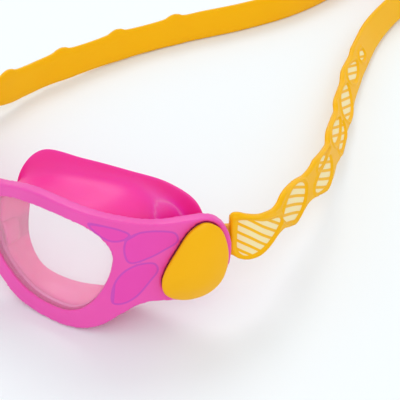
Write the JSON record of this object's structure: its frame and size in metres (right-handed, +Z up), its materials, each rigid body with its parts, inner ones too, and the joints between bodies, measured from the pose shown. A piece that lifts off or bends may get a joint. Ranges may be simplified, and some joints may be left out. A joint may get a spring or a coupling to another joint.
{
  "type": "swim goggles",
  "caption": "Child's swim goggles with a wrap-around frame, clear lenses, soft gaskets, temple push buttons and a moulded head strap with a rear clasp.",
  "frame": {"origin": "middle of the footprint on the table the goggles lie on", "axes": "+Z up; -Y is where the wearer looks, +X is the wearer's left"},
  "size_m": [0.1438, 0.2698, 0.0433],
  "materials": {
    "frame_plastic": "satin moulded pink",
    "lens_clear": "clear polished polycarbonate",
    "ring_plastic": "satin moulded pink",
    "gasket_silicone": "soft matte pink silicone",
    "button_plastic": "satin moulded yellow",
    "clip_plastic": "moulded yellow",
    "spring_steel": "bright wire",
    "strap_silicone": "soft satin yellow silicone with cream print",
    "clasp_plastic": "satin moulded pink"
  },
  "bodies": {
    "eyepiece": {"frame": "frame_plastic", "lens_left": "lens_clear", "lens_right": "lens_clear", "lens_ring_left": "ring_plastic", "lens_ring_right": "ring_plastic", "gasket_left": "gasket_silicone", "gasket_right": "gasket_silicone", "temple_cover_left": "frame_plastic", "temple_cover_right": "frame_plastic", "button_spring_left": "spring_steel", "button_spring_right": "spring_steel"},
    "left_button": {"temple_button_left": "button_plastic", "button_clip_left": "clip_plastic"},
    "right_button": {"temple_button_right": "button_plastic", "button_clip_right": "clip_plastic"},
    "strap_loop": {"strap_clip_left": "clip_plastic", "strap_clip_right": "clip_plastic", "strap_left": "strap_silicone", "strap_right": "strap_silicone", "clasp_body": "clasp_plastic", "clasp_tongue": "clip_plastic", "clasp_pin": "spring_steel"},
    "clasp_flap": {"clasp_lever": "clasp_plastic"}
  },
  "joints": [
    {"name": "strap_tilt", "type": "hinge", "parent": "eyepiece", "child": "strap_loop", "pos_m": [0, -0.10159, 0.02674], "axis": [1, 0, 0], "range_deg": [-12, 12]},
    {"name": "left_button_press", "type": "slide", "parent": "eyepiece", "child": "left_button", "axis": [-0.788, 0.6117, -0.0697], "range_m": [0, 0.0012], "stiffness_N_per_m": 900, "springref_m": -0.0008, "deforming": ["button_spring_left"]},
    {"name": "right_button_press", "type": "slide", "parent": "eyepiece", "child": "right_button", "axis": [0.788, 0.6117, -0.0697], "range_m": [0, 0.0012], "stiffness_N_per_m": 900, "springref_m": -0.0008, "deforming": ["button_spring_right"]},
    {"name": "clasp_open", "type": "hinge", "parent": "strap_loop", "child": "clasp_flap", "pos_m": [-0.0137, 0.13342, 0.0075], "axis": [0, 0, 1], "range_deg": [0, 75]}
  ]
}
